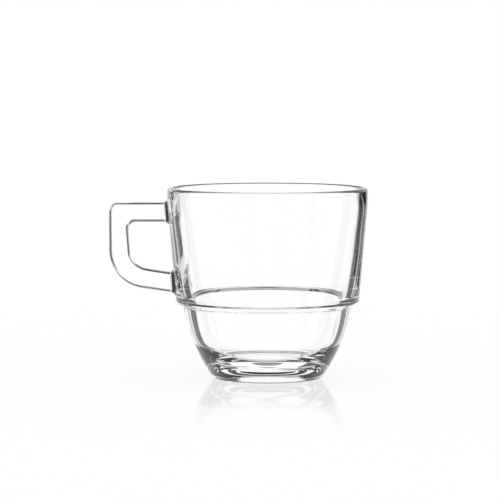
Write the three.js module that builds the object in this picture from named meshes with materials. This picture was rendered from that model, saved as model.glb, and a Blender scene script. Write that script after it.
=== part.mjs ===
// A stacking coffee glass in clear pressed glass, in millimetres, +Z up, standing on Z = 0.
// The bowl is a thick turned shape with a step in its wall, and the square handle is fused to its side.
// The bowl's axis is vertical, and the handle points towards -X.
import * as THREE from 'three';

const { degToRad } = THREE.MathUtils;

// Bowl, outside: an upright rim over a leaning wall, a step, then a rounded lower wall down to the foot.
const glassHeight = 78;
const rimRadius = 41;
const uprightHeight = 72;
const uprightRound = 65;
const wallLean = degToRad(5);
const stepHeight = 31.25;
const stepRound = 1.5;
const stepOverhang = 2.9;
const stepDrop = 1.8;
const neckRound = 0.8;
const lowerWallBulge = 1.75;
const footRadius = 22.2;
const footRound = 2;

// Underside: a flat ring that the glass stands on, round a shallow recess.
const ringWidth = 5;
const ringRound = 0.6;
const recessDepth = 0.6;
const recessRun = 1.2;
const recessRound = 0.8;

// Bowl, inside: the wall swells down to a narrow shelf and a ledge at the step, draws in to a waist,
// and runs through a wide round heel into the flat floor.
const lipThickness = 2.5;
const bellyThickness = 4.75;
const bellyRise = 9;
const ledgeThickness = 3.75;
const ledgeRise = 0.6;
const shelfWidth = 0.5;
const shelfRise = 0.25;
const ledgeRound = 0.3;
const waistThickness = 6.8;
const waistHeight = 18;
const heelRadius = 20.5;
const heelRound = 19;
const floorThickness = 5;

// Handle, seen from the side: a level top bar, an upright grip, and a lower bar that falls to the wall.
const handleReach = 64.9;
const handleTop = 72;
const topBarWidth = 7.95;
const gripTopWidth = 8;
const gripHeelWidth = 9.5;
const heelHeight = 39;
const lowerBarWidth = 8.25;
const lowerBarFall = degToRad(8.4);
const outerTopRound = 3.7;
const outerHeelRound = 16;
const innerTopRound = 2.9;
const innerHeelRound = 7.5;

// Handle, across the bar: a soft rectangle that flares where it meets the bowl.
const barThickness = 10;
const barSquareness = 4;
const rootFlare = 2;
const weldGap = 0.3;

// Fineness of the facets.
const bowlSegments = 64;
const facetTurn = degToRad(18);
const curveSteps = 7;
const heelSteps = 6;
const barSides = 28;
const handleCornerSteps = 6;
const flareSteps = 4;

// Radius of the leaning outer wall at a height above the step.
function wallRadius(z) {
  return rimRadius - Math.tan(wallLean) * Math.max(0, uprightHeight - z);
}

function point(x, y) {
  return new THREE.Vector2(x, y);
}

// The arc that rounds the corner between two straight runs, as points in the order of travel.
// Its radius is limited so that it never eats more than half of the shorter run.
function cornerArc(before, corner, after, radius, fixedSteps) {
  const back = before.clone().sub(corner);
  const ahead = after.clone().sub(corner);
  const halfOpening = back.angleTo(ahead) / 2;
  const shorterRun = Math.min(back.length(), ahead.length());
  const setback = Math.min(radius / Math.tan(halfOpening), shorterRun / 2);
  const turn = Math.PI - 2 * halfOpening;
  const direction = Math.sign(ahead.cross(back));
  back.normalize();
  ahead.normalize();
  const start = corner.clone().addScaledVector(back, setback);
  const middle = back.add(ahead).normalize();
  const centre = corner.clone().addScaledVector(middle, setback / Math.cos(halfOpening));
  const steps = fixedSteps ?? Math.max(2, Math.ceil(turn / facetTurn));
  const arc = [];
  for (let i = 0; i <= steps; i += 1) {
    arc.push(start.clone().rotateAround(centre, (direction * turn * i) / steps));
  }
  return arc;
}

// A chain of points whose corners are rounded where they ask for it.
function roundedChain(corners) {
  return corners.flatMap(({ at, round }, i) => {
    if (!round) {
      return [at];
    }
    return cornerArc(corners[i - 1].at, at, corners[i + 1].at, round);
  });
}

// The inner points of a curve that leaves and arrives along straight lines to its pull point.
function curveBetween(from, pull, to) {
  const curve = new THREE.QuadraticBezierCurve(from, pull, to);
  return curve.getPoints(curveSteps).slice(1, -1).map((at) => ({ at }));
}

// Half of the bowl's section, from the centre of its underside round to the centre of its floor.
function bowlProfile() {
  const foot = point(footRadius, 0);
  const step = point(wallRadius(stepHeight), stepHeight);
  const neck = point(step.x - stepOverhang, stepHeight - stepDrop);
  const chord = neck.clone().sub(foot);
  const outward = point(chord.y, -chord.x).normalize();
  const bulgePull = foot.clone().lerp(neck, 0.5).addScaledVector(outward, 2 * lowerWallBulge);
  const innerRim = point(rimRadius - lipThickness, glassHeight);
  const bellyHeight = stepHeight + bellyRise;
  const belly = point(wallRadius(bellyHeight) - bellyThickness, bellyHeight);
  const ledge = point(neck.x - ledgeThickness, stepHeight + ledgeRise);
  const shelf = point(ledge.x + shelfWidth, ledge.y + shelfRise);
  const waist = point(neck.x - waistThickness, waistHeight);
  const heel = point(heelRadius, floorThickness);
  const floorCentre = point(0, floorThickness);
  // The heel's arc may take the whole of the runs up to the waist and in to the axis, so both count double.
  const beyondWaist = heel.clone().lerp(waist, 2);
  const acrossFloor = point(-heelRadius, floorThickness);
  const heelArc = cornerArc(beyondWaist, heel, acrossFloor, heelRound, heelSteps);
  const ringInner = footRadius - ringWidth;
  return roundedChain([
    { at: point(0, recessDepth) },
    { at: point(ringInner - recessRun, recessDepth), round: recessRound },
    { at: point(ringInner, 0), round: ringRound },
    { at: foot, round: footRound },
    ...curveBetween(foot, bulgePull, neck),
    { at: neck, round: neckRound },
    { at: step, round: stepRound },
    { at: point(rimRadius, uprightHeight), round: uprightRound },
    { at: point(rimRadius, glassHeight), round: lipThickness / 2 },
    { at: innerRim, round: lipThickness / 2 },
    ...curveBetween(innerRim, belly, shelf),
    { at: shelf, round: ledgeRound },
    { at: ledge, round: ledgeRound },
    ...curveBetween(ledge, waist, heelArc[0]),
    ...heelArc.map((at) => ({ at })),
    { at: floorCentre },
  ]);
}

// One edge of the handle in side view: its two rounded corners, and its straight ends towards the wall.
function handleEdge(topEnd, topCorner, heelCorner, lowEnd, topRound, heelRound) {
  return {
    topEnd,
    lowEnd,
    topArc: cornerArc(topEnd, topCorner, heelCorner, topRound, handleCornerSteps),
    heelArc: cornerArc(topCorner, heelCorner, lowEnd, heelRound, handleCornerSteps),
  };
}

// The outer and inner edges of the handle, drawn in X and Z.
function handleEdges() {
  const slope = Math.tan(lowerBarFall);
  const underside = (x) => heelHeight - slope * (x + handleReach);
  const innerTop = handleTop - topBarWidth;
  const innerHeel = gripHeelWidth - handleReach;
  const outer = handleEdge(
    point(0, handleTop),
    point(-handleReach, handleTop),
    point(-handleReach, heelHeight),
    point(0, underside(0)),
    outerTopRound,
    outerHeelRound,
  );
  const inner = handleEdge(
    point(0, innerTop),
    point(gripTopWidth - handleReach, innerTop),
    point(innerHeel, underside(innerHeel) + lowerBarWidth),
    point(0, underside(0) + lowerBarWidth),
    innerTopRound,
    innerHeelRound,
  );
  return { outer, inner };
}

// The soft rectangle of the bar's section: for each point its place and its normal, across (u) and along Y (v).
function barSection() {
  const power = 2 / barSquareness;
  const soften = (value) => Math.sign(value) * Math.abs(value) ** power;
  const steepen = (value) => Math.sign(value) * Math.abs(value) ** (2 - power);
  return Array.from({ length: barSides }, (_, i) => {
    const angle = (2 * Math.PI * i) / barSides;
    const normal = point(steepen(Math.cos(angle)), steepen(Math.sin(angle))).normalize();
    return { u: soften(Math.cos(angle)), v: soften(Math.sin(angle)), normal };
  });
}

// A ring of the bar between a point on its outer edge and the matching point on its inner edge.
function barRing(section, outer, inner) {
  const middle = outer.clone().lerp(inner, 0.5);
  const half = outer.clone().sub(middle);
  return section.map(({ u, v }) => new THREE.Vector3(
    middle.x + u * half.x,
    (v * barThickness) / 2,
    middle.y + u * half.y,
  ));
}

// A ring that lies along the bowl's wall at a distance from it, opened out by the root's round flare.
function rootRing(section, outerEnds, innerEnds, distance) {
  const short = Math.max(0, rootFlare - distance);
  const flare = rootFlare - Math.sqrt(rootFlare ** 2 - short ** 2);
  const heightAt = ([far, near], x) => far.y + ((near.y - far.y) * (x - far.x)) / (near.x - far.x);
  const guessX = -wallRadius(outerEnds[0].y) - distance;
  const outerZ = heightAt(outerEnds, guessX);
  const innerZ = heightAt(innerEnds, guessX);
  const onWall = (y, z) => new THREE.Vector3(-Math.sqrt((wallRadius(z) + distance) ** 2 - y ** 2), y, z);
  const upwards = Math.sign(outerZ - innerZ);
  const ring = section.map(({ u, v, normal }) => {
    const z = (outerZ + innerZ) / 2 + (u * (outerZ - innerZ)) / 2 + upwards * flare * normal.x;
    const y = (v * barThickness) / 2 + flare * normal.y;
    return onWall(y, z);
  });
  return { ring, centre: onWall(0, (outerZ + innerZ) / 2) };
}

// The rings of one root, from the weld outwards.
function rootRings(section, outerEnds, innerEnds) {
  const rings = [];
  for (let i = 0; i <= flareSteps; i += 1) {
    const along = (i / flareSteps) ** 2;
    const distance = THREE.MathUtils.lerp(weldGap, rootFlare, along);
    rings.push(rootRing(section, outerEnds, innerEnds, distance));
  }
  return rings;
}

// Skins a row of rings and closes both ends with a fan to a centre point.
function skin(rings, startCentre, endCentre) {
  const sides = rings[0].length;
  const vertices = [...rings.flat(), startCentre, endCentre];
  const startIndex = rings.length * sides;
  const lastRing = (rings.length - 1) * sides;
  const triangles = [];
  for (let side = 0; side < sides; side += 1) {
    const next = (side + 1) % sides;
    for (let row = 0; row < rings.length - 1; row += 1) {
      const a = row * sides + side;
      const b = row * sides + next;
      triangles.push(a, b, a + sides, b, b + sides, a + sides);
    }
    triangles.push(startIndex, next, side);
    triangles.push(startIndex + 1, lastRing + side, lastRing + next);
  }
  const geometry = new THREE.BufferGeometry().setFromPoints(vertices);
  geometry.setIndex(triangles);
  geometry.computeVertexNormals();
  return geometry;
}

function handleGeometry() {
  const { outer, inner } = handleEdges();
  const section = barSection();
  const topRoot = rootRings(section, [outer.topArc[0], outer.topEnd], [inner.topArc[0], inner.topEnd]);
  const lowRoot = rootRings(
    section,
    [outer.heelArc.at(-1), outer.lowEnd],
    [inner.heelArc.at(-1), inner.lowEnd],
  );
  const rings = [
    ...topRoot.map(({ ring }) => ring),
    ...outer.topArc.map((at, i) => barRing(section, at, inner.topArc[i])),
    ...outer.heelArc.map((at, i) => barRing(section, at, inner.heelArc[i])),
    ...lowRoot.map(({ ring }) => ring).reverse(),
  ];
  return skin(rings, topRoot[0].centre, lowRoot[0].centre);
}

// Colourless soda-lime glass with a fire-polished surface.
function clearGlass() {
  return new THREE.MeshStandardMaterial({
    color: 0xf3f7f6,
    roughness: 0.02,
    metalness: 0,
    transparent: true,
    opacity: 0.35,
  });
}

const bowl = new THREE.Mesh(new THREE.LatheGeometry(bowlProfile(), bowlSegments), clearGlass());
bowl.name = 'bowl';
bowl.rotation.x = Math.PI / 2;

const handle = new THREE.Mesh(handleGeometry(), clearGlass());
handle.name = 'handle';

// The glass stands with the middle of its outline, handle included, over the origin.
const coffeeGlass = new THREE.Group();
coffeeGlass.add(bowl, handle);
coffeeGlass.position.x = (handleReach - rimRadius) / 2;

export default coffeeGlass;
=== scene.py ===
import math

import bmesh
import bpy
from mathutils import Matrix, Vector
from mathutils.geometry import delaunay_2d_cdt


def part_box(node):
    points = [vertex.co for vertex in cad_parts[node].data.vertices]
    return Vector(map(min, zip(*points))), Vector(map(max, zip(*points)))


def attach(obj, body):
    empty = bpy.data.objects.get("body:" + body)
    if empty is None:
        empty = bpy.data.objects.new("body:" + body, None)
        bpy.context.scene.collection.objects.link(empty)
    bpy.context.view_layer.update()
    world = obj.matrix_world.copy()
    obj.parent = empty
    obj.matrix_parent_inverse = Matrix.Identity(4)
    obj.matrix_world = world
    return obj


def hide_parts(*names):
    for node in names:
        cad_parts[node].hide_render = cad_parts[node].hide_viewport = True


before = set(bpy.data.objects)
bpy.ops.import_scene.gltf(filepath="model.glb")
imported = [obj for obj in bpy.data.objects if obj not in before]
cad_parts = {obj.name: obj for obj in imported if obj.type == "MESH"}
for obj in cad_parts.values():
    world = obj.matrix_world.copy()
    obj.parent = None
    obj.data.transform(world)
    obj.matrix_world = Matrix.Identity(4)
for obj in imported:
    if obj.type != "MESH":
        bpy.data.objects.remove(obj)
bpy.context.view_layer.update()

# The bowl is the cup itself: one gob of clear soda-lime glass, pressed between a mould and a plunger.
# Its section is turned about an upright axis: a full-round lip, a leaning wall, a stacking step, a
# rounded lower wall, a foot ring round a shallow recess, and inside a ledge, a round heel and the floor.
mm = 0.001
bowl_low, bowl_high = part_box("bowl")
axis_x = (bowl_low.x + bowl_high.x) / 2
rim_radius = (bowl_high.x - bowl_low.x) / 2
glass_height = bowl_high.z
upright_height = 72 * mm
upright_round = 65 * mm
wall_lean = math.radians(5)
step_height = 31.25 * mm
step_round = 1.5 * mm
step_overhang = 2.9 * mm
step_drop = 1.8 * mm
neck_round = 0.8 * mm
lower_wall_bulge = 1.75 * mm
foot_radius = 22.2 * mm
foot_round = 2 * mm
ring_width = 5.0 * mm
ring_round = 0.6 * mm
recess_depth = 0.6 * mm
recess_run = 1.2 * mm
recess_round = 0.8 * mm
lip_thickness = 2.5 * mm
belly_thickness = 4.75 * mm
belly_rise = 9 * mm
ledge_thickness = 3.75 * mm
ledge_rise = 0.6 * mm
shelf_width = 0.5 * mm
shelf_fall = 0.25 * mm
ledge_round = 0.3 * mm
waist_thickness = 6.8 * mm
waist_height = 18 * mm
heel_radius = 20.5 * mm
heel_round = 19 * mm
floor_thickness = 5 * mm
bowl_segments = 256
arc_facet = math.radians(4)
fewest_facets = 3
upright_facets = 8
curve_facets = 28
wall_facets = 26


def round_corner(before, corner, after, radius, facets=None):
    """The arc that rounds a corner between two straight runs, as points in the order of travel."""
    back = (before - corner).normalized()
    ahead = (after - corner).normalized()
    half_opening = back.angle(ahead) / 2
    setback = radius / math.tan(half_opening)
    turn = math.pi - 2 * half_opening
    side = math.copysign(1, ahead.x * back.y - ahead.y * back.x)
    start = corner + back * setback
    centre = corner + (back + ahead).normalized() * setback / math.cos(half_opening)
    facets = facets or max(fewest_facets, math.ceil(turn / arc_facet))
    arc = []
    for facet in range(facets + 1):
        angle = side * turn * facet / facets
        spoke = start - centre
        arc.append(centre + Vector((
            spoke.x * math.cos(angle) - spoke.y * math.sin(angle),
            spoke.x * math.sin(angle) + spoke.y * math.cos(angle),
        )))
    return arc


def swelling_run(start_arc, start, pull, end, end_arc):
    """Points of a curve between two rounded corners, which leaves and arrives towards its pull point."""
    first = (start_arc[-1] - start).length / (2 * (pull - start).length)
    last = 1 - (end_arc[0] - end).length / (2 * (end - pull).length)
    run = []
    for facet in range(1, curve_facets):
        t = first + (last - first) * facet / curve_facets
        run.append(start * (1 - t) ** 2 + pull * 2 * t * (1 - t) + end * t ** 2)
    return run


def lean_radius(z):
    """Radius of the leaning wall before its bend under the rim is rounded."""
    return rim_radius - math.tan(wall_lean) * max(0, upright_height - z)


recess_centre = Vector((0, recess_depth))
ring_inner = foot_radius - ring_width
recess_edge = Vector((ring_inner - recess_run, recess_depth))
ring_edge = Vector((ring_inner, 0))
foot = Vector((foot_radius, 0))
step = Vector((lean_radius(step_height), step_height))
neck = step - Vector((step_overhang, step_drop))
lower_wall = neck - foot
wall_outwards = Vector((lower_wall.y, -lower_wall.x)).normalized()
bulge_pull = (foot + neck) / 2 + wall_outwards * 2 * lower_wall_bulge
upright = Vector((rim_radius, upright_height))
outer_rim = Vector((rim_radius, glass_height))
inner_rim = Vector((rim_radius - lip_thickness, glass_height))
belly_height = step_height + belly_rise
belly = Vector((lean_radius(belly_height) - belly_thickness, belly_height))
ledge = Vector((neck.x - ledge_thickness, step_height + ledge_rise))
shelf = ledge + Vector((shelf_width, shelf_fall))
waist = Vector((neck.x - waist_thickness, waist_height))
heel = Vector((heel_radius, floor_thickness))
floor_centre = Vector((0, floor_thickness))

recess_arc = round_corner(recess_centre, recess_edge, ring_edge, recess_round)
ring_arc = round_corner(recess_edge, ring_edge, foot, ring_round)
foot_arc = round_corner(ring_edge, foot, bulge_pull, foot_round)
neck_arc = round_corner(bulge_pull, neck, step, neck_round)
step_arc = round_corner(neck, step, upright, step_round)
upright_arc = round_corner(step, upright, outer_rim, upright_round, upright_facets)
outer_lip_arc = round_corner(upright, outer_rim, inner_rim, lip_thickness / 2)
inner_lip_arc = round_corner(outer_rim, inner_rim, belly, lip_thickness / 2)
shelf_arc = round_corner(belly, shelf, ledge, ledge_round)
ledge_arc = round_corner(shelf, ledge, waist, ledge_round)
heel_arc = round_corner(waist, heel, floor_centre, heel_round)

section = [recess_centre, *recess_arc, *ring_arc, *foot_arc]
section += swelling_run(foot_arc, foot, bulge_pull, neck, neck_arc)
section += [*neck_arc, *step_arc]
wall_first_row = len(section) - 1
for facet in range(1, wall_facets):
    section.append(step_arc[-1].lerp(upright_arc[0], facet / wall_facets))
section += upright_arc
wall_last_row = len(section) - 1
section += [*outer_lip_arc, *inner_lip_arc[1:]]
section += swelling_run(inner_lip_arc, inner_rim, belly, shelf, shelf_arc)
section += [*shelf_arc, *ledge_arc]
section += swelling_run(ledge_arc, ledge, waist, heel_arc[0], heel_arc)
section += [*heel_arc, floor_centre]

section_mesh = bpy.data.meshes.new("bowl_section")
section_mesh.from_pydata(
    [(p.x, 0, p.y) for p in section], [(i, i + 1) for i in range(len(section) - 1)], [])
section_normals = section_mesh.attributes.new("surface_normal", "FLOAT_VECTOR", "POINT")
for row in range(len(section)):
    along = section[min(row + 1, len(section) - 1)] - section[max(row - 1, 0)]
    section_normals.data[row].vector = Vector((along.y, 0, -along.x)).normalized()


def add_node(tree, kind, inputs=None, **settings):
    """Adds a node with its settings, and sets or links its inputs by name or number."""
    node = tree.nodes.new(kind)
    for name, value in settings.items():
        setattr(node, name, value)
    for key, value in (inputs or {}).items():
        if isinstance(value, bpy.types.NodeSocket):
            tree.links.new(value, node.inputs[key])
        else:
            node.inputs[key].default_value = value
    return node


def linear(hex_colour):
    """A colour written as sRGB hex, as the linear values that a shader takes."""
    channels = [int(hex_colour[i:i + 2], 16) / 255 for i in (0, 2, 4)]
    return [c / 12.92 if c <= 0.04045 else ((c + 0.055) / 1.055) ** 2.4 for c in channels] + [1]


# Pressed soda-lime glass: colourless, smooth from the fire polish, refractive index 1.52. The cool mould
# leaves a faint waviness, some 9 mm from crest to crest, that only shows where the glass bends an edge.
# Light that falls through it to the table is passed on nearly whole, so that its shadow stays pale.
wave_length = 9 * mm
wave_depth = 0.02 * mm
clear_glass = bpy.data.materials.new("pressed_soda_lime_glass")
clear_glass.use_nodes = True
tree = clear_glass.node_tree
tree.nodes.clear()
coordinates = add_node(tree, "ShaderNodeTexCoord")
chill_waves = add_node(tree, "ShaderNodeTexNoise", {
    "Vector": coordinates.outputs["Object"],
    "Scale": 1 / wave_length,
    "Detail": 1.0,
    "Roughness": 0.4,
})
waviness = add_node(tree, "ShaderNodeBump", {
    "Strength": 1.0,
    "Distance": wave_depth,
    "Height": chill_waves.outputs["Fac"],
})
glass_shader = add_node(tree, "ShaderNodeBsdfPrincipled", {
    "Base Color": linear("ffffff"),
    "Roughness": 0.0,
    "IOR": 1.52,
    "Transmission Weight": 1.0,
    "Normal": waviness.outputs["Normal"],
})
passed_light = add_node(tree, "ShaderNodeBsdfTransparent", {"Color": linear("f8f8f8")})
light_path = add_node(tree, "ShaderNodeLightPath")
lights_the_table = add_node(tree, "ShaderNodeMath", {
    0: light_path.outputs["Is Shadow Ray"],
    1: light_path.outputs["Is Diffuse Ray"],
}, operation="MAXIMUM")
glass_or_light = add_node(tree, "ShaderNodeMixShader", {
    0: lights_the_table.outputs[0],
    1: glass_shader.outputs[0],
    2: passed_light.outputs[0],
})
add_node(tree, "ShaderNodeOutputMaterial", {"Surface": glass_or_light.outputs[0]})

# The lathe tree turns the section about the axis: a grid of one row per point of the section and one
# column per segment, rolled up and merged where its ends meet.
seam_reach = 0.001 * mm
lathe = bpy.data.node_groups.new("turn_section", "GeometryNodeTree")
lathe.interface.new_socket("Section", in_out="INPUT", socket_type="NodeSocketGeometry")
segments_socket = lathe.interface.new_socket("Segments", in_out="INPUT", socket_type="NodeSocketInt")
axis_socket = lathe.interface.new_socket("Axis", in_out="INPUT", socket_type="NodeSocketVector")
lathe.interface.new_socket("Bowl", in_out="OUTPUT", socket_type="NodeSocketGeometry")
given = add_node(lathe, "NodeGroupInput").outputs
rows = add_node(lathe, "GeometryNodeAttributeDomainSize", {0: given["Section"]}).outputs["Point Count"]
columns = add_node(lathe, "FunctionNodeIntegerMath", {
    0: given["Segments"],
    1: 1,
}, operation="ADD")
grid = add_node(lathe, "GeometryNodeMeshGrid", {
    "Vertices X": columns.outputs[0],
    "Vertices Y": rows,
})
index = add_node(lathe, "GeometryNodeInputIndex").outputs[0]
row = add_node(lathe, "FunctionNodeIntegerMath", {
    0: index,
    1: rows,
}, operation="MODULO").outputs[0]
column = add_node(lathe, "FunctionNodeIntegerMath", {
    0: index,
    1: rows,
}, operation="DIVIDE_FLOOR").outputs[0]
turned_share = add_node(lathe, "ShaderNodeMath", {
    0: column,
    1: given["Segments"],
}, operation="DIVIDE")
turn = add_node(lathe, "ShaderNodeMath", {
    0: turned_share.outputs[0],
    1: 2 * math.pi,
}, operation="MULTIPLY")
section_point = add_node(lathe, "GeometryNodeSampleIndex", {
    "Geometry": given["Section"],
    "Value": add_node(lathe, "GeometryNodeInputPosition").outputs[0],
    "Index": row,
}, data_type="FLOAT_VECTOR")
named_normal = add_node(lathe, "GeometryNodeInputNamedAttribute", {
    "Name": "surface_normal",
}, data_type="FLOAT_VECTOR")
section_normal = add_node(lathe, "GeometryNodeSampleIndex", {
    "Geometry": given["Section"],
    "Value": named_normal.outputs[0],
    "Index": row,
}, data_type="FLOAT_VECTOR")
turned_point = add_node(lathe, "ShaderNodeVectorRotate", {
    "Vector": section_point.outputs[0],
    "Angle": turn.outputs[0],
}, rotation_type="Z_AXIS")
turned_normal = add_node(lathe, "ShaderNodeVectorRotate", {
    "Vector": section_normal.outputs[0],
    "Angle": turn.outputs[0],
}, rotation_type="Z_AXIS")
placed_point = add_node(lathe, "ShaderNodeVectorMath", {
    0: turned_point.outputs[0],
    1: given["Axis"],
}, operation="ADD")
with_normal = add_node(lathe, "GeometryNodeStoreNamedAttribute", {
    "Geometry": grid.outputs["Mesh"],
    "Name": "surface_normal",
    "Value": turned_normal.outputs[0],
}, data_type="FLOAT_VECTOR", domain="POINT")
with_row = add_node(lathe, "GeometryNodeStoreNamedAttribute", {
    "Geometry": with_normal.outputs[0],
    "Name": "section_row",
    "Value": row,
}, data_type="INT", domain="POINT")
seamless_column = add_node(lathe, "FunctionNodeIntegerMath", {
    0: column,
    1: given["Segments"],
}, operation="MODULO")
with_column = add_node(lathe, "GeometryNodeStoreNamedAttribute", {
    "Geometry": with_row.outputs[0],
    "Name": "turned_column",
    "Value": seamless_column.outputs[0],
}, data_type="INT", domain="POINT")
rolled = add_node(lathe, "GeometryNodeSetPosition", {
    "Geometry": with_column.outputs[0],
    "Position": placed_point.outputs[0],
})
closed = add_node(lathe, "GeometryNodeMergeByDistance", {
    "Geometry": rolled.outputs[0],
    "Distance": seam_reach,
})
smooth = add_node(lathe, "GeometryNodeSetShadeSmooth", {"Geometry": closed.outputs[0]})
real = add_node(lathe, "GeometryNodeRealizeInstances", {"Geometry": smooth.outputs[0]})
finished = add_node(lathe, "GeometryNodeSetMaterial", {
    "Geometry": real.outputs[0],
    "Material": clear_glass,
})
add_node(lathe, "NodeGroupOutput", {0: finished.outputs[0]})

bowl = bpy.data.objects.new("glass_bowl", section_mesh)
bpy.context.scene.collection.objects.link(bowl)
turning = bowl.modifiers.new("turning", "NODES")
turning.node_group = lathe
turning[segments_socket.identifier] = bowl_segments
turning[axis_socket.identifier] = (axis_x, 0, 0)
turned_bowl = bowl.evaluated_get(bpy.context.evaluated_depsgraph_get())
bowl_mesh = bpy.data.meshes.new_from_object(turned_bowl)
bowl.modifiers.remove(turning)
bowl.data = bowl_mesh
bowl_mesh.materials.pop(index=0)
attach(bowl, "root")
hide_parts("bowl")

# The handle is a squared bar of the same glass, fused hot to the bowl: a level top bar, an upright grip
# that thickens downwards, and a lower bar that falls to the wall. Its outer and inner edges have
# corners of their own, its section is a soft rectangle, and both roots open in a round flare.
handle_low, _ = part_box("handle")
handle_reach = axis_x - handle_low.x
handle_top = 72 * mm
top_bar_width = 7.95 * mm
grip_top_width = 8 * mm
grip_heel_width = 9.5 * mm
heel_height = 39 * mm
lower_bar_width = 8.25 * mm
lower_bar_fall = math.tan(math.radians(8.4))
outer_top_round = 3.7 * mm
outer_heel_round = 16 * mm
inner_top_round = 2.9 * mm
inner_heel_round = 7.5 * mm
bar_thickness = 10 * mm
bar_squareness = 4
root_flare = 2 * mm
bar_sides = 128
handle_corner_facets = 28
flare_facets = 12
straight_facets = 6


def underside(x):
    """Height of the lower bar's underside at a place along the bar, measured from the bowl's axis."""
    return heel_height - lower_bar_fall * (x + handle_reach)


def handle_edge(top, grip_x, heel_x, rise, top_round, heel_round):
    """One edge of the handle in side view: the ends over the axis, and the arcs of its two corners."""
    top_end = Vector((0, top))
    top_corner = Vector((grip_x, top))
    heel_corner = Vector((heel_x, underside(heel_x) + rise))
    low_end = Vector((0, underside(0) + rise))
    top_arc = round_corner(top_end, top_corner, heel_corner, top_round, handle_corner_facets)
    heel_arc = round_corner(top_corner, heel_corner, low_end, heel_round, handle_corner_facets)
    return top_end, top_arc, heel_arc, low_end


def wall_radius(z):
    """Radius of the bowl's outer wall between the step and the lip, with the bend under the rim."""
    bend_top = upright_arc[-1].y
    below = bend_top - z
    if below <= 0:
        return rim_radius
    if z < upright_arc[0].y:
        return lean_radius(z)
    return rim_radius - upright_round + math.sqrt(upright_round ** 2 - below ** 2)


def soft_power(value, power):
    """A number raised to a power, with its sign kept."""
    return math.copysign(abs(value) ** power, value)


bar_section = []
softness = 2 / bar_squareness
for side in range(bar_sides):
    angle = 2 * math.pi * side / bar_sides
    place, outward = (
        Vector((soft_power(math.cos(angle), power), soft_power(math.sin(angle), power)))
        for power in (softness, 2 - softness)
    )
    bar_section.append((place, outward.normalized()))


def bar_ring(outer, inner):
    """A ring of the bar between a point on its outer edge and the matching point on its inner edge."""
    middle = (outer + inner) / 2
    half = outer - middle
    return [
        Vector((axis_x + middle.x + p.x * half.x, p.y * bar_thickness / 2, middle.y + p.x * half.y))
        for p, _ in bar_section
    ]


def root_ring(outer_far, outer_near, inner_far, inner_near, distance, flare):
    """A ring that lies along the bowl's wall at a distance from it, opened out by the flare."""
    x = -wall_radius(outer_far.y) - distance
    outer_z = outer_far.lerp(outer_near, (x - outer_far.x) / (outer_near.x - outer_far.x)).y
    inner_z = inner_far.lerp(inner_near, (x - inner_far.x) / (inner_near.x - inner_far.x)).y
    upwards = math.copysign(1, outer_z - inner_z)
    ring = []
    for p, outward in bar_section:
        z = (outer_z + inner_z) / 2 + p.x * (outer_z - inner_z) / 2 + upwards * flare * outward.x
        y = p.y * bar_thickness / 2 + flare * outward.y
        ring.append(Vector((axis_x - math.sqrt((wall_radius(z) + distance) ** 2 - y ** 2), y, z)))
    return ring


def root_rings(outer_far, outer_near, inner_far, inner_near):
    """The rings of one root, from the wall outwards, along the round of its flare."""
    rings = []
    for facet in range(flare_facets + 1):
        angle = math.pi / 2 * facet / flare_facets
        distance = root_flare * (1 - math.cos(angle))
        flare = root_flare * (1 - math.sin(angle))
        rings.append(root_ring(outer_far, outer_near, inner_far, inner_near, distance, flare))
    return rings


def between(first, last):
    """Rings along a straight bar, so that its faces stay short."""
    return [
        [a.lerp(b, facet / straight_facets) for a, b in zip(first, last)]
        for facet in range(1, straight_facets)
    ]


outer_top_end, outer_top_arc, outer_heel_arc, outer_low_end = handle_edge(
    handle_top, -handle_reach, -handle_reach, 0, outer_top_round, outer_heel_round)
inner_top_end, inner_top_arc, inner_heel_arc, inner_low_end = handle_edge(
    handle_top - top_bar_width, grip_top_width - handle_reach, grip_heel_width - handle_reach,
    lower_bar_width, inner_top_round, inner_heel_round)
top_root = root_rings(outer_top_arc[0], outer_top_end, inner_top_arc[0], inner_top_end)
low_root = root_rings(outer_heel_arc[-1], outer_low_end, inner_heel_arc[-1], inner_low_end)
top_corner = [bar_ring(outer, inner) for outer, inner in zip(outer_top_arc, inner_top_arc)]
heel_corner = [bar_ring(outer, inner) for outer, inner in zip(outer_heel_arc, inner_heel_arc)]
rings = [
    *top_root, *between(top_root[-1], top_corner[0]),
    *top_corner, *between(top_corner[-1], heel_corner[0]),
    *heel_corner, *between(heel_corner[-1], low_root[-1]),
    *reversed(low_root),
]

handle_points = [point for ring in rings for point in ring]
handle_faces = []
handle_normals = []
for ring_number, ring in enumerate(rings):
    before = rings[max(ring_number - 1, 0)]
    after = rings[min(ring_number + 1, len(rings) - 1)]
    for side in range(bar_sides):
        round_the_bar = ring[(side + 1) % bar_sides] - ring[side - 1]
        along_the_bar = after[side] - before[side]
        handle_normals.append(round_the_bar.cross(along_the_bar).normalized())
        if ring_number < len(rings) - 1:
            a = ring_number * bar_sides + side
            b = ring_number * bar_sides + (side + 1) % bar_sides
            handle_faces.append((a, b, b + bar_sides, a + bar_sides))

# The weld is where handle and bowl are one body of glass, at the two roots. The wall is divided along
# the outline of each root, and what lies inside it is glass against glass: both pieces have the same
# faces there, which show nothing, because light meets no surface in fused glass.
fused_glass = bpy.data.materials.new("fused_glass_inside_weld")
fused_glass.use_nodes = True
tree = fused_glass.node_tree
tree.nodes.clear()
no_surface = add_node(tree, "ShaderNodeBsdfTransparent", {"Color": linear("ffffff")})
add_node(tree, "ShaderNodeOutputMaterial", {"Surface": no_surface.outputs[0]})
bowl_mesh.materials.append(fused_glass)
weld_columns = 10
clear_of_weld = 0.45 * mm
border_bow = 0.01
same_point = 1e-9
slope_rise = 0.05 * mm


def unrolled(point):
    """A point of the wall on the flat: its distance round from the handle's middle, and its height."""
    return Vector((rim_radius * math.asin(-point.y / wall_radius(point.z)), point.z))


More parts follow.
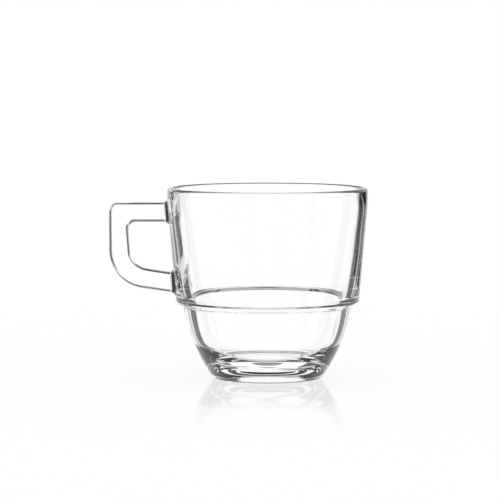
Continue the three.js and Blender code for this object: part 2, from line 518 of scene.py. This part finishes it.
def wall_normal(point):
    """The wall's outward direction at a point of its outside."""
    gained = wall_radius(point.z + slope_rise) - wall_radius(point.z - slope_rise)
    slope = gained / (2 * slope_rise)
    return Vector((point.x - axis_x, point.y, -slope * wall_radius(point.z))).normalized()


bowl_build = bmesh.new()
bowl_build.from_mesh(bowl_mesh)
row_layer = bowl_build.verts.layers.int["section_row"]
column_layer = bowl_build.verts.layers.int["turned_column"]
normal_layer = bowl_build.verts.layers.float_vector["surface_normal"]
root_outlines = rings[0] + rings[-1]
outlines_flat = [unrolled(point) for point in root_outlines]
column_width = rim_radius * 2 * math.pi / bowl_segments
block_middle = Vector((0, (section[wall_first_row].y + section[wall_last_row].y) / 2))
block_corner = Vector((weld_columns * column_width, section[wall_last_row].y)) - block_middle
block = set()
border = []
border_flat = []
inner_points = []
inner_flat = []
for v in bowl_build.verts:
    from_middle = v[column_layer] - bowl_segments // 2
    if abs(from_middle) > weld_columns or not wall_first_row <= v[row_layer] <= wall_last_row:
        continue
    block.add(v)
    flat = Vector((from_middle * column_width, v.co.z))
    if abs(from_middle) == weld_columns or v[row_layer] in (wall_first_row, wall_last_row):
        # On the flat the straight borders bow out a little, so that the hull has each point as a corner.
        border.append(v)
        offset = flat - block_middle
        bow = border_bow * (1 - offset.length_squared / block_corner.length_squared)
        border_flat.append(flat + offset * bow)
    elif min((flat - outline).length for outline in outlines_flat) > clear_of_weld:
        inner_points.append(v.co.copy())
        inner_flat.append(flat)
bmesh.ops.delete(
    bowl_build,
    geom=[f for f in bowl_build.faces if block.issuperset(f.verts)],
    context="FACES_KEEP_BOUNDARY",
)
kept = list(border)
for point in inner_points + root_outlines:
    v = bowl_build.verts.new(point)
    v[normal_layer] = wall_normal(point)
    kept.append(v)
kept_flat = border_flat + inner_flat + outlines_flat
first_outline = len(kept) - 2 * bar_sides
top_outline = list(range(first_outline, first_outline + bar_sides))
low_outline = list(range(first_outline + bar_sides, first_outline + 2 * bar_sides))
_, _, flat_faces, sources, _, inside = delaunay_2d_cdt(
    kept_flat, [], [top_outline, low_outline[::-1]], 0, same_point, True)
handle_lookup = {}
for outline_number, first in enumerate((0, len(handle_points) - bar_sides)):
    for side in range(bar_sides):
        handle_lookup[first_outline + outline_number * bar_sides + side] = first + side
weld_faces = []
for corners, within in zip(flat_faces, inside):
    numbers = [sources[corner][0] for corner in corners]
    face = bowl_build.faces.new([kept[number] for number in numbers])
    face.smooth = True
    if within:
        face.material_index = 1
        for number in numbers:
            if number not in handle_lookup:
                handle_lookup[number] = len(handle_points)
                handle_points.append(kept[number].co.copy())
                handle_normals.append(-wall_normal(kept[number].co))
        weld_faces.append([handle_lookup[number] for number in reversed(numbers)])
bowl_build.to_mesh(bowl_mesh)
bowl_build.free()
surface_normals = bowl_mesh.attributes["surface_normal"].data
bowl_mesh.normals_split_custom_set_from_vertices([n.vector.copy() for n in surface_normals])
for name in ("surface_normal", "section_row", "turned_column"):
    bowl_mesh.attributes.remove(bowl_mesh.attributes[name])

for outline_first in (0, (len(rings) - 1) * bar_sides):
    for side in range(bar_sides):
        handle_normals[outline_first + side] = wall_normal(handle_points[outline_first + side])
handle_mesh = bpy.data.meshes.new("glass_handle")
handle_mesh.from_pydata(handle_points, [], handle_faces + weld_faces)
handle_mesh.materials.append(clear_glass)
handle_mesh.materials.append(fused_glass)
for face in handle_mesh.polygons:
    face.use_smooth = True
    face.material_index = 0 if face.index < len(handle_faces) else 1
handle_mesh.normals_split_custom_set_from_vertices(handle_normals)
handle = bpy.data.objects.new("glass_handle", handle_mesh)
bpy.context.scene.collection.objects.link(handle)
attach(handle, "root")
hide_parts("handle")

# The table is a round white board, matt under a thin gloss, which gives the glass a faint reflection.
# The gloss fades away from the glass, because the reflection in the photograph does. Light that came
# through the glass doesn't see the board, so that the base shows the studio behind it.
table_radius = 300 * mm
table_segments = 128
table_drop = 0.05 * mm
backlight_strength = 0.2
gloss_roughness = 0.05
gloss_by_the_glass = 0.22
gloss_fades_from = 70 * mm
gloss_gone_at = 165 * mm
table_white = bpy.data.materials.new("white_lacquered_board")
table_white.use_nodes = True
tree = table_white.node_tree
tree.nodes.clear()
matt = add_node(tree, "ShaderNodeBsdfDiffuse", {"Color": linear("e7e7e7")})
backlight = add_node(tree, "ShaderNodeEmission", {
    "Color": linear("ffffff"),
    "Strength": backlight_strength,
})
lit = add_node(tree, "ShaderNodeAddShader", {0: matt.outputs[0], 1: backlight.outputs[0]})
gloss = add_node(tree, "ShaderNodeBsdfGlossy", {
    "Color": linear("ffffff"),
    "Roughness": gloss_roughness,
})
from_glass = add_node(tree, "ShaderNodeVectorMath", {
    0: add_node(tree, "ShaderNodeTexCoord").outputs["Object"],
    1: (axis_x, 0, 0),
}, operation="DISTANCE")
gloss_share = add_node(tree, "ShaderNodeMapRange", {
    "Value": from_glass.outputs["Value"],
    "From Min": gloss_fades_from,
    "From Max": gloss_gone_at,
    "To Min": gloss_by_the_glass,
    "To Max": 0.0,
})
lacquer = add_node(tree, "ShaderNodeMixShader", {
    0: gloss_share.outputs[0],
    1: lit.outputs[0],
    2: gloss.outputs[0],
})
add_node(tree, "ShaderNodeOutputMaterial", {"Surface": lacquer.outputs[0]})
table_mesh = bpy.data.meshes.new("table")
table_build = bmesh.new()
bmesh.ops.create_circle(
    table_build, cap_ends=True, segments=table_segments, radius=table_radius,
    matrix=Matrix.Translation((axis_x, 0, -table_drop)))
table_build.to_mesh(table_mesh)
table_build.free()
table_mesh.materials.append(table_white)
table = bpy.data.objects.new("table", table_mesh)
table.visible_transmission = False
bpy.context.scene.collection.objects.link(table)

# The floor is white paper that runs out to the backdrop, lit evenly so that no horizon shows. It shows
# to the camera alone, because the light in the glass and on the board comes from the studio.
floor_reach = 20
floor_drop = 1 * mm
floor_white = bpy.data.materials.new("white_paper_floor")
floor_white.use_nodes = True
tree = floor_white.node_tree
tree.nodes.clear()
even_white = add_node(tree, "ShaderNodeEmission", {"Color": linear("ffffff"), "Strength": 1.0})
add_node(tree, "ShaderNodeOutputMaterial", {"Surface": even_white.outputs[0]})
floor_mesh = bpy.data.meshes.new("floor")
floor_mesh.from_pydata(
    [(x, y, -floor_drop) for x, y in ((-1, -1), (1, -1), (1, 1), (-1, 1))], [], [(0, 1, 2, 3)])
floor_mesh.transform(Matrix.Diagonal((floor_reach, floor_reach, 1, 1)))
floor_mesh.materials.append(floor_white)
floor = bpy.data.objects.new("floor", floor_mesh)
floor.visible_diffuse = False
floor.visible_glossy = False
floor.visible_transmission = False
floor.visible_shadow = False
bpy.context.scene.collection.objects.link(floor)

# The studio: soft white light from all round, and dark cards, which draw the dark edges of clear glass.
# A card is given by the way that light takes to it, by what it spans sideways and upwards, in degrees,
# and by how dark it is. It shows only to light of that way, so that the middle of the glass stays clear.
world = bpy.data.worlds.new("studio")
bpy.context.scene.world = world
world.use_nodes = True
tree = world.node_tree
tree.nodes.clear()
direction = add_node(tree, "ShaderNodeSeparateXYZ", {
    0: add_node(tree, "ShaderNodeTexCoord").outputs["Generated"],
})
azimuth = add_node(tree, "ShaderNodeMath", {
    0: direction.outputs["X"],
    1: direction.outputs["Y"],
}, operation="ARCTAN2")
# The cards stand a little turned, because the dark bands in the photograph's two side walls differ.
studio_turn = math.radians(4)
turned_azimuth = add_node(tree, "ShaderNodeMath", {
    0: azimuth.outputs[0],
    1: studio_turn,
}, operation="ADD")
sideways = add_node(tree, "ShaderNodeMath", {
    0: turned_azimuth.outputs[0],
}, operation="ABSOLUTE").outputs[0]
upwards = add_node(tree, "ShaderNodeMath", {
    0: direction.outputs["Z"],
}, operation="ARCSINE").outputs[0]
path_counts = add_node(tree, "ShaderNodeLightPath").outputs
side_softness = math.radians(5)
height_softness = math.radians(3)
# For each way, the fewest and most surfaces that light went through, and the same for all its bounces.
most_bounces = 99
ways = {
    "off_the_glass": ((0, 0), (0, most_bounces)),
    "through_one_thickness": ((2, 2), (3, 3)),
    "turned_in_one_thickness": ((2, 2), (4, 6)),
    "through_both_walls": ((3, most_bounces), (3, 6)),
    "trapped_in_the_base": ((2, 5), (7, most_bounces)),
}
# These lie past the ends of both measures, so that a card that reaches one has no edge there.
middle, behind = -9, 190
nadir, zenith = -95, 95
dark_cards = (
    ("off_the_glass", (28, 53), (-15, -2), 0.95),
    ("through_one_thickness", (17, 39), (-13, 8), 0.92),
    ("through_one_thickness", (17, 25), (-33, -13), 0.75),
    ("through_one_thickness", (25, 39), (-33, -13), 0.45),
    ("through_one_thickness", (39, 50), (-10, 14), 0.6),
    ("through_one_thickness", (middle, 42), (-63, -32), 1.0),
    ("through_one_thickness", (middle, 60), (14, 62), 0.85),
    ("through_one_thickness", (141, 163), (-56, 8), 0.45),
    ("through_one_thickness", (120, behind), (-4, 62), 0.85),
    ("turned_in_one_thickness", (26, 44), (-42, -6), 0.95),
    ("turned_in_one_thickness", (25, 53), (-6, 40), 0.9),
    ("turned_in_one_thickness", (13, 22), (-55, 2), 0.7),
    ("turned_in_one_thickness", (middle, 45), (33, 80), 0.85),
    ("turned_in_one_thickness", (middle, behind), (nadir, -72), 0.75),
    ("through_both_walls", (30, 56), (-12, 60), 0.8),
    ("through_both_walls", (middle, 24), (-63, -36), 0.3),
    ("trapped_in_the_base", (76, 128), (nadir, 51), 1.0),
    ("trapped_in_the_base", (24, 80), (6, 51), 1.0),
    ("trapped_in_the_base", (22, 80), (nadir, -24), 0.95),
    ("trapped_in_the_base", (middle, behind), (28, zenith), 0.6),
    ("trapped_in_the_base", (middle, behind), (nadir, -32), 0.8),
)
taken_way = {}
for way, (surfaces, bounces) in ways.items():
    taken = 1.0
    for counted, (fewest, most) in (("Transmission Depth", surfaces), ("Ray Depth", bounces)):
        within = add_node(tree, "ShaderNodeMath", {
            0: path_counts[counted],
            1: (fewest + most) / 2,
            2: (most - fewest + 1) / 2,
        }, operation="COMPARE")
        taken = add_node(tree, "ShaderNodeMath", {
            0: taken,
            1: within.outputs[0],
        }, operation="MULTIPLY").outputs[0]
    taken_way[way] = taken
darkness = 0.0
for way, across, height, card_darkness in dark_cards:
    card = add_node(tree, "ShaderNodeMath", {
        0: taken_way[way],
        1: card_darkness,
    }, operation="MULTIPLY").outputs[0]
    for measured, edges, softness in (
        (sideways, across, side_softness),
        (upwards, height, height_softness),
    ):
        low, high = (math.radians(edge) for edge in edges)
        off_middle = add_node(tree, "ShaderNodeMath", {
            0: measured,
            1: (low + high) / 2,
        }, operation="SUBTRACT")
        distance = add_node(tree, "ShaderNodeMath", {0: off_middle.outputs[0]}, operation="ABSOLUTE")
        within = add_node(tree, "ShaderNodeMath", {
            0: distance.outputs[0],
            1: -1 / softness,
            2: (high - low) / (2 * softness) + 0.5,
        }, operation="MULTIPLY_ADD", use_clamp=True)
        card = add_node(tree, "ShaderNodeMath", {
            0: card,
            1: within.outputs[0],
        }, operation="MULTIPLY").outputs[0]
    darkness = add_node(tree, "ShaderNodeMath", {
        0: darkness,
        1: card,
    }, operation="MAXIMUM").outputs[0]
seen_light = add_node(tree, "ShaderNodeMath", {0: 1.0, 1: darkness}, operation="SUBTRACT")
room = add_node(tree, "ShaderNodeBackground", {
    "Color": linear("ffffff"),
    "Strength": seen_light.outputs[0],
})
add_node(tree, "ShaderNodeOutputWorld", {"Surface": room.outputs[0]})

# The camera stands a good metre from the glass and a little above it, as in the photograph. It looks past
# the middle of the glass towards the handle. Light may turn round in the glass more often than by
# default, because the thick base goes too dark otherwise.
camera_distance = 1.1
camera_height = 136 * mm
aim_towards_handle = 7.18 * mm
aim_height = 52.4 * mm
glossy_bounces = 6
aim = Vector((axis_x - aim_towards_handle, 0, aim_height))
frame_width_at_glass = 204 * mm
camera_data = bpy.data.cameras.new("camera")
camera_data.sensor_width = 36
camera_data.lens = camera_data.sensor_width * camera_distance / frame_width_at_glass
camera = bpy.data.objects.new("camera", camera_data)
camera.location = (axis_x, -camera_distance, camera_height)
camera.rotation_euler = (aim - camera.location).to_track_quat("-Z", "Y").to_euler()
bpy.context.scene.collection.objects.link(camera)
bpy.context.scene.camera = camera
bpy.context.scene.view_settings.view_transform = "Standard"
bpy.context.scene.cycles.glossy_bounces = glossy_bounces
